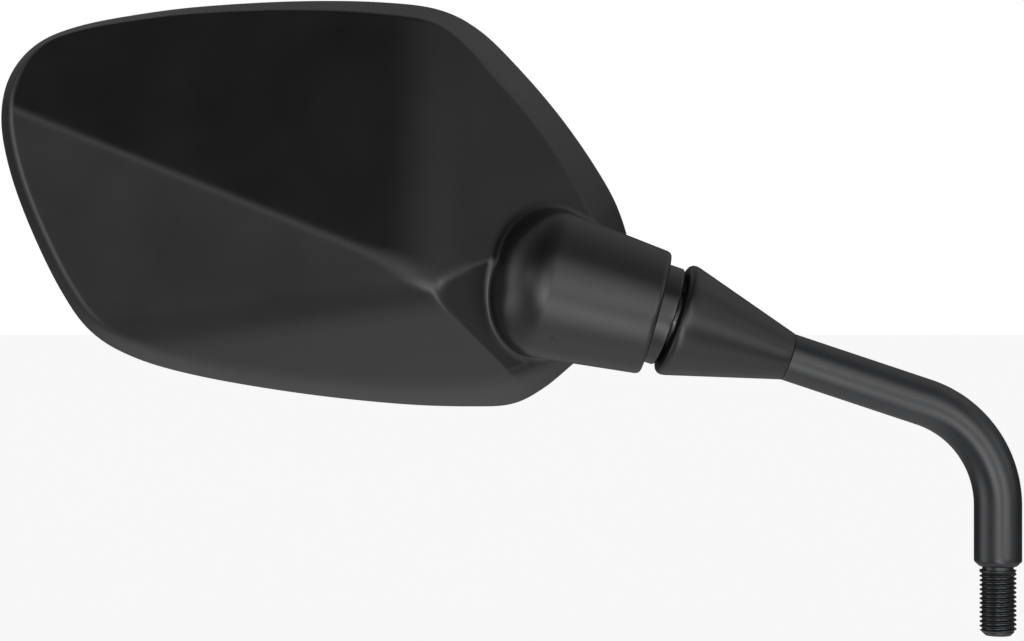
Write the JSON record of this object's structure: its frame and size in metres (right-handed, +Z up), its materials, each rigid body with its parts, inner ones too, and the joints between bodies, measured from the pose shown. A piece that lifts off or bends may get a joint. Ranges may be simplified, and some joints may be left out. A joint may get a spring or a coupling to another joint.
{
  "type": "motorcycle mirror",
  "caption": "Right-hand motorcycle rear-view mirror: a faceted shell with convex glass, turning on a sprung ball joint at the end of a bent, threaded stem.",
  "frame": {"origin": "the stem's shoulder on the thread's axis, where the stem seats on its clamp", "axes": "+Z up along the stem's foot, the head lies towards -X, the glass faces +Y and the moulded back faces -Y"},
  "size_m": [0.2843, 0.0447, 0.1767],
  "materials": {
    "black_paint": "semi-matte black paint",
    "black_plastic": "moulded matte black plastic",
    "gloss_black": "gloss black",
    "plate_plastic": "moulded dark plastic",
    "plain_steel": "zinc-plated steel",
    "spring_steel": "oiled spring steel",
    "ball_steel": "ground and polished steel",
    "seat_polymer": "natural acetal",
    "cast_alloy": "die-cast alloy, as cast",
    "foam": "closed-cell adhesive foam",
    "mirror": "silvered convex glass"
  },
  "bodies": {
    "stem": {"stem_rod": "black_paint", "cone_cover": "black_plastic", "coupling_nut": "plain_steel", "spring_washer": "plain_steel", "joint_collar": "gloss_black", "ball_stud": "ball_steel"},
    "front_seat": {"front_seat_ring": "seat_polymer"},
    "rear_seat": {"rear_seat_ring": "seat_polymer"},
    "head": {"mirror_shell": "black_plastic", "socket_housing": "cast_alloy", "housing_screws": "plain_steel", "pressure_cup": "seat_polymer", "thrust_washer": "plain_steel", "pressure_spring": "spring_steel", "spring_retainer": "plain_steel", "retaining_ring": "spring_steel", "backing_plate": "plate_plastic", "plate_screws": "plain_steel", "foam_pad": "foam", "mirror_glass": "mirror"}
  },
  "joints": [
    {"name": "head_pan", "type": "hinge", "parent": "stem", "child": "front_seat", "pos_m": [-0.1005, -0.00703, 0.07152], "axis": [0.2504, 0, 0.9681], "range_deg": [-3.7, 11.7]},
    {"name": "head_tilt", "type": "hinge", "parent": "front_seat", "child": "rear_seat", "pos_m": [-0.1005, -0.00703, 0.07152], "axis": [0, 1, 0], "range_deg": [-3.9, 11.5]},
    {"name": "head_twist", "type": "hinge", "parent": "rear_seat", "child": "head", "pos_m": [-0.1005, -0.00703, 0.07152], "axis": [0.9681, 0, -0.2504], "continuous": true}
  ]
}
